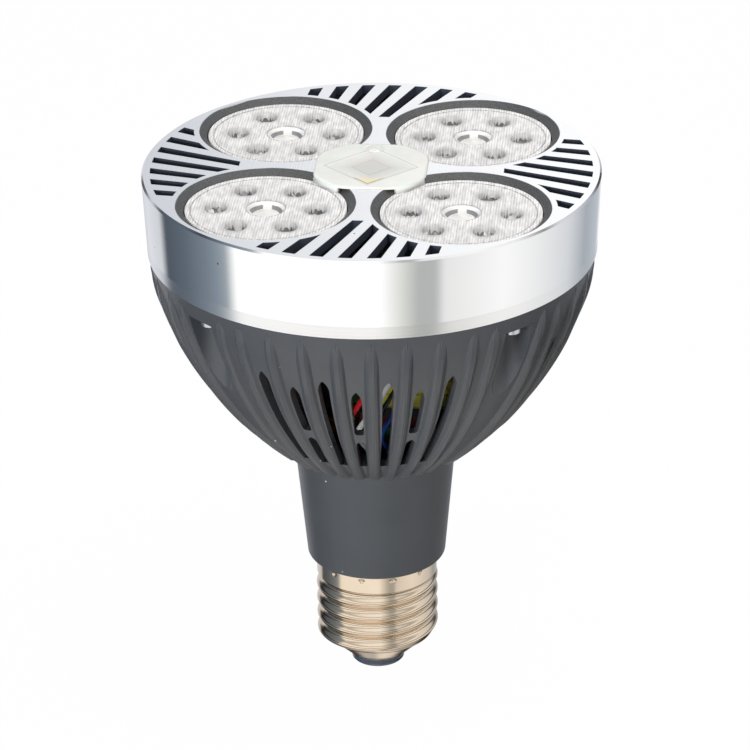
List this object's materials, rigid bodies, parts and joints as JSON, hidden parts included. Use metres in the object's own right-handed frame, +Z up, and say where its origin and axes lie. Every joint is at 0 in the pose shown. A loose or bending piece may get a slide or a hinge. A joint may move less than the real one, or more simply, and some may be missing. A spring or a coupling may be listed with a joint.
{
  "type": "led reflector bulb",
  "caption": "Reflector lamp with a bright slotted face, clustered lenses under a clear clamp, a ribbed and vented dark bowl with a fan inside, and an Edison screw cap.",
  "frame": {"origin": "lowest point of the centre contact, on the lamp's axis", "axes": "+Z up the axis from the screw cap to the light-giving face; the lenses lie on the diagonals between +X and +Y"},
  "size_m": [0.095, 0.095, 0.1176],
  "materials": {
    "bright_aluminium": "die-cast, face and rim turned bright",
    "black_aluminium": "black anodised",
    "zinc_steel": "zinc plated",
    "bright_steel": "ground",
    "frosted_clear": "moulded clear plastic, frosted",
    "clear_lens": "moulded optical plastic with a fluted top",
    "brass": "plain brass",
    "black_plastic": "moulded",
    "charcoal_plastic": "moulded, satin",
    "copper_winding": "enamelled wire",
    "nickel_shell": "nickel-plated sheet",
    "dark_insulator": "vitrified",
    "green_board": "solder-masked laminate",
    "white_board": "white solder mask on aluminium",
    "yellow_phosphor": "phosphor in silicone",
    "yellow_tape": "polyester tape",
    "ferrite": "sintered",
    "red_phenolic": "moulded",
    "capacitor_sleeve": "shrunk sleeve",
    "grey_ceramic": "coated",
    "red_sleeve": "insulation",
    "white_sleeve": "insulation",
    "black_sleeve": "insulation",
    "blue_sleeve": "insulation"
  },
  "bodies": {
    "root": {"face_cap": "bright_aluminium", "heat_sink": "black_aluminium", "lens_1": "clear_lens", "lens_2": "clear_lens", "lens_3": "clear_lens", "lens_4": "clear_lens", "lamp_board_1": "white_board", "lamp_board_2": "white_board", "lamp_board_3": "white_board", "lamp_board_4": "white_board", "emitters_1": "yellow_phosphor", "emitters_2": "yellow_phosphor", "emitters_3": "yellow_phosphor", "emitters_4": "yellow_phosphor", "board_screws": "zinc_steel", "lens_clamp": "frosted_clear", "clamp_insert": "brass", "clamp_screw": "zinc_steel", "fan_frame": "black_plastic", "fan_bearing": "brass", "fan_stator": "copper_winding", "fan_screws": "zinc_steel", "vent_bowl": "charcoal_plastic", "bowl_screws": "zinc_steel", "neck_sleeve": "charcoal_plastic", "screw_shell": "nickel_shell", "base_insulator": "dark_insulator", "centre_contact": "brass", "driver_board": "green_board", "transformer_winding": "yellow_tape", "transformer_core": "ferrite", "transformer_bobbin": "red_phenolic", "output_capacitor": "capacitor_sleeve", "input_capacitor": "capacitor_sleeve", "line_choke": "copper_winding", "fuse_resistor": "grey_ceramic", "film_capacitor": "red_phenolic", "bridge_rectifier": "black_plastic", "controller_chip": "black_plastic", "power_transistor": "black_plastic", "lamp_lead_red": "red_sleeve", "lamp_lead_white": "white_sleeve", "lamp_lead_black": "black_sleeve", "lamp_lead_blue": "blue_sleeve", "fan_lead_red": "red_sleeve", "fan_lead_black": "black_sleeve", "mains_lead_centre": "red_sleeve", "mains_lead_shell": "blue_sleeve"},
    "rotor": {"fan_impeller": "black_plastic", "fan_magnet": "ferrite", "fan_shaft": "bright_steel", "fan_clip": "bright_steel"}
  },
  "joints": [
    {"name": "fan_spin", "type": "hinge", "parent": "root", "child": "rotor", "pos_m": [0, 0, 0.0871], "axis": [0, 0, 1], "continuous": true}
  ]
}
